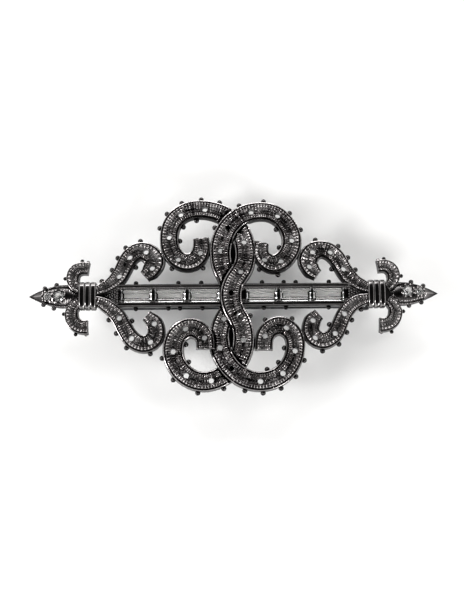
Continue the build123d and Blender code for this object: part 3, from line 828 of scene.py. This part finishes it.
# Half of the finial leaf's top from the edge to the middle: (share of half width, height, rib height)
LEAF_SECTION = (
    (1.0, -0.35, 0.0), (0.985, -0.1, 0.0), (0.93, 0.06, 0.02), (0.86, 0.0, 0.05), (0.79, -0.18, 0.02),
    (0.74, -0.1, 0.06), (0.66, 0.1, 0.07), (0.55, 0.22, 0.06), (0.42, 0.34, 0.04), (0.28, 0.42, 0.03),
    (0.14, 0.46, 0.02), (0.0, 0.48, 0.0),
)
# Outline of the leaf: (distance from the barrette's middle, half width)
LEAF_OUTLINE = (
    (38.6, 0.8), (39.6, 1.3), (40.4, 2.4), (41.2, 2.95), (42.7, 2.95), (44.2, 2.75), (45.8, 2.3),
    (47.2, 1.8), (49.3, 0.9), (TIP_X, 0.06),
)
LEAF_TOP = 11.15
LEAF_RIB_PITCH = 0.42


def make_leaf(side):
    """Centre petal: milled border, domed middle and a ridged point."""
    x = np.linspace(39.2, TIP_X - 0.02, 170)
    share, dome, rib = mirrored(LEAF_SECTION)
    half = np.interp(x, *np.array(LEAF_OUTLINE).T)
    point = smooth((x - 47.4) / 0.5)
    ridge = 1.25 * (1 - np.abs(share)) - 0.45
    height = dome * (1 - point[:, None]) + ridge * point[:, None]
    ribs = np.cos(2 * math.pi * x / LEAF_RIB_PITCH) * (1 - point)
    top = LEAF_TOP + height * np.clip(half / 2.0, 0.15, 1)[:, None] + rib * ribs[:, None]
    top += 0.15 * smooth((x - 47.2) / 0.4)[:, None] * (1 - smooth((x - 48.5) / 2.4))[:, None]
    top -= 0.35 * smooth((x - 48.0) / 3.0)[:, None]
    low = BAND_BACK + 0.8 * smooth((x - 47.5) / 3.4)
    chamfer = 0.3 * np.clip(half / 2, 0.1, 1)
    kit = Kit()
    kit.rings(along_x(side * x, share * half[:, None], top, half, low, 0.85, chamfer))
    return kit


def add_petal(obj, side, points, outer):
    """A ribbed side petal with two beads along it and one at its end; outer is its convex side."""
    path = Path([(-side * x, y, half) for x, y, half in points])
    combine(obj, band_shape(path, PETAL_TOP, ends=(False, True), phase=side), "UNION")
    beads = Kit()
    add_beads(beads, path, PETAL_BEADS, outer, radius=0.5)
    centre, out, half = path.at(path.length - 0.5)
    beads.ball(*(centre[0] + out[0] * outer * (half[0] + 0.05)), BEAD_Z + 0.4, 0.5)
    combine(obj, beads, "UNION")


def set_round_stones(obj, side):
    """Raised seats with eight prongs each, and wells for the two round stones."""
    seats = Kit()
    wells = Kit()
    for x, y, radius in ROUND_STONES[side]:
        seats.lathe(side * x, y, [(radius + 0.45, 10.4), (radius + 0.45, 11.3), (radius + 0.3, 11.72),
                                  (radius + 0.12, 11.75), (radius + 0.1, 11.6)])
        wells.lathe(side * x, y, [(0.15, 10.35), (radius + 0.03, 11.45), (radius + 0.05, 12.6)])
        reach = radius + 0.22
        for k in range(8):
            turn = math.pi * (k + 0.5) / 4
            seats.ball(side * x + reach * math.cos(turn), y + reach * math.sin(turn), 11.75, 0.22,
                       rows=6, columns=10)
    combine(obj, seats, "UNION")
    combine(obj, wells, "DIFFERENCE")


def make_finial(name, side):
    """Fleur-de-lis end: a leaf with two curled petals, and a tenon inside the collar."""
    obj = make_leaf(side).object(name)
    add_petal(obj, side, PETAL_T, -side)
    add_petal(obj, side, PETAL_B, side)
    tenon = Kit()
    near, far = sorted((side * (COLLAR_X[side] - 2.3), side * 40.2))
    tenon.block(near, far, -2.3, 2.3, BAND_BACK + 0.1, BAND_TOP - 1.0, 0.3, 0.2)
    combine(obj, tenon, "UNION")
    set_round_stones(obj, side)
    beads = Kit()
    for x, y in FINIAL_BEADS[side]:
        beads.ball(side * x, y, BEAD_Z + 0.1, 0.6)
    combine(obj, beads, "UNION")
    finish_piece(obj, name, CAST)


for word, side in (("left", -1), ("right", 1)):
    make_collar("collar_" + word, side)
    make_finial("finial_" + word, side)


# ---------------------------------------------------------------- stones

# Round stone's rings upwards: (z, share of radius, turn in eighths); the crown is above the girdle
ROUND_BACK = ((10.5, 0.05, 0.0), (10.95, 0.5, 0.5), (11.42, 0.985, 0.0), (11.52, 0.985, 0.0))
ROUND_CROWN = ((11.75, 0.80, 0.5), (12.0, 0.55, 0.0))


def stone_piece(kit, name):
    """A glass stone in the place of the CAD stone of the same name."""
    obj = kit.object(name)
    obj.data.materials.append(GLASS)
    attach(obj, ORNAMENT)
    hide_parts(name)
    return obj


def foil_piece(inner, outer, name):
    """Foil cup under a stone, between its inner and its outer rings."""
    kit = Kit()
    kit.rings(inner + outer[::-1])
    obj = kit.object(name)
    obj.data.materials.append(FOIL)
    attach(obj, ORNAMENT)


def make_baguette(index, x):
    """Step-cut stone over its foil."""
    a = STONE_LENGTH / 2
    b = STONE_WIDTH / 2
    back = [(a - 0.6, b - 1.15, STONE_BOTTOM + 0.1), (a - 0.35, b - 0.75, STONE_BOTTOM + 0.5),
            (a - 0.12, b - 0.3, STONE_GIRDLE - 0.5), (a - 0.02, b - 0.02, STONE_GIRDLE - 0.12)]
    crown = [(a - 0.02, b - 0.02, STONE_GIRDLE), (a - 0.12, b - 0.25, STONE_GIRDLE + 0.28),
             (a - 0.3, b - 0.55, STONE_TABLE)]
    stone = Kit()
    tapered_block(stone, x, back + crown)
    stone_piece(stone, "baguette_stone_" + str(index))

    def cup(spread, drop):
        """The stone's back, a little larger and lower."""
        corners = ((-1, -1), (1, -1), (1, 1), (-1, 1))
        return [[(x + i * (p + spread), j * (q + spread), z - drop) for i, j in corners] for p, q, z in back]

    foil_piece(cup(0.01, 0.015), cup(0.04, 0.06), "baguette_foil_" + str(index))


def octagons(x, y, radius, levels, drop=0.0):
    """Eight-sided rings about (x, y): levels are (z, share of radius, turn in eighths)."""
    rings = []
    for z, share, turn in levels:
        angles = [math.pi * (k + turn) / 4 for k in range(8)]
        rings.append([(x + radius * share * math.cos(a), y + radius * share * math.sin(a), z - drop)
                      for a in angles])
    return rings


def make_round_stone(name, x, y, radius):
    """Round stone: eight-sided table, triangular facets, girdle and a pointed back."""
    kit = Kit()
    kit.rings(octagons(x, y, radius, ROUND_BACK + ROUND_CROWN))
    obj = stone_piece(kit, name)
    split = bmesh.new()
    split.from_mesh(obj.data)
    bmesh.ops.triangulate(split, faces=[f for f in split.faces if len(f.verts) == 4])
    split.to_mesh(obj.data)
    split.free()
    inner = octagons(x, y, radius, ROUND_BACK[:3], 0.02)
    outer = octagons(x, y, radius * 1.02, ROUND_BACK[:3], 0.07)
    foil_piece(inner, outer, name.replace("stone", "foil"))


for index, x in enumerate(STONE_X, start=1):
    make_baguette(index, x)
for word, side in (("left", -1), ("right", 1)):
    for size, (x, y, radius) in zip(("large", "small"), ROUND_STONES[side]):
        make_round_stone(size + "_round_stone_" + word, side * x, y, radius)


# ---------------------------------------------------------------- clip

for names, material in (
    (("base_plate", "clip_arm", "catch_base", "catch_lug_front", "catch_lug_back"), STRIP),
    (("tension_bow",), SPRING),
    (("hinge_pin", "plate_rivets", "catch_rivet"), PIN),
):
    for name in names:
        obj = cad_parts[name]
        obj.data.materials.clear()
        obj.data.materials.append(material)


# ---------------------------------------------------------------- studio

FLOOR_HALF = 6000
LIT_POINT = (0, 0, 8)
LIGHT_POWER = 0.7
# Name, place and size of each lamp
LIGHTS = (
    ("key", (-40, 300, 260), (300, 90)),
    ("fill", (-300, -80, 200), (60, 200)),
    ("strip", (200, -260, 240), (160, 50)),
)
# Brightness of the surroundings from the horizon to straight above
SKY = ((0.0, 1.3), (0.35, 1.1), (0.55, 0.8), (0.72, 0.3), (0.86, 0.03), (1.0, 0.02))
CAMERA_LENS = 62.7
CAMERA_DISTANCE = 260
CAMERA_LEAN = math.radians(9.5)
CAMERA_ROLL = math.radians(0.48)
CAMERA_TARGET = (-0.34, -1.24, 11.0)


def make_floor():
    """Pale surface under the barrette, with a faint warm grain."""
    corners = [(-FLOOR_HALF, -FLOOR_HALF, 0), (FLOOR_HALF, -FLOOR_HALF, 0),
               (FLOOR_HALF, FLOOR_HALF, 0), (-FLOOR_HALF, FLOOR_HALF, 0)]
    obj = new_object("floor", corners, [(0, 1, 2, 3)])
    material, tree, shader = new_material("floor")
    shader.inputs["Roughness"].default_value = 0.6
    shader.inputs["Specular IOR Level"].default_value = 0.2
    colour = ramp(tree, noise(tree, 12.0), [(0.3, (0.86, 0.855, 0.845)), (0.7, (0.90, 0.897, 0.89))])
    tree.links.new(colour, shader.inputs["Base Color"])
    obj.data.materials.append(material)


def aim(obj, place, target, roll=0.0):
    """Puts an object at a place, looking along its -Z at a target."""
    place = Vector(place)
    forward = (Vector(target) - place).normalized()
    right = forward.cross(Vector((0, 0, 1))).normalized()
    up = right.cross(forward)
    turn = Matrix.Rotation(roll, 3, forward)
    axes = Matrix((turn @ right, turn @ up, -forward)).transposed().to_4x4()
    axes.translation = place * MM
    obj.matrix_world = axes


def add_light(name, place, size):
    """A rectangular lamp that faces the barrette."""
    data = bpy.data.lights.new(name, "AREA")
    data.shape = "RECTANGLE"
    data.size = size[0] * MM
    data.size_y = size[1] * MM
    data.energy = LIGHT_POWER
    obj = bpy.data.objects.new(name, data)
    bpy.context.scene.collection.objects.link(obj)
    aim(obj, place, LIT_POINT)


def make_world():
    """Bright surroundings, darker straight above, so flat tops read dark and slopes read bright."""
    world = bpy.data.worlds.new("studio")
    bpy.context.scene.world = world
    world.use_nodes = True
    tree = world.node_tree
    background = tree.nodes["Background"]
    place = node(tree, "ShaderNodeTexCoord")
    parts = node(tree, "ShaderNodeSeparateXYZ")
    tree.links.new(place.outputs["Generated"], parts.inputs[0])
    tree.links.new(ramp(tree, parts.outputs["Z"], SKY), background.inputs["Color"])
    background.inputs["Strength"].default_value = 1.42


def add_camera():
    """Looks almost straight down, from a little in front of the barrette."""
    data = bpy.data.cameras.new("camera")
    data.lens = CAMERA_LENS
    data.sensor_width = 36
    data.clip_start = 0.005
    data.clip_end = 20
    camera = bpy.data.objects.new("camera", data)
    bpy.context.scene.collection.objects.link(camera)
    x, y, z = CAMERA_TARGET
    place = (x, y - CAMERA_DISTANCE * math.sin(CAMERA_LEAN), z + CAMERA_DISTANCE * math.cos(CAMERA_LEAN))
    aim(camera, place, CAMERA_TARGET, roll=CAMERA_ROLL)
    bpy.context.scene.camera = camera


make_floor()
make_world()
for name, place, size in LIGHTS:
    add_light(name, place, size)
add_camera()
bpy.context.scene.view_settings.view_transform = "Standard"
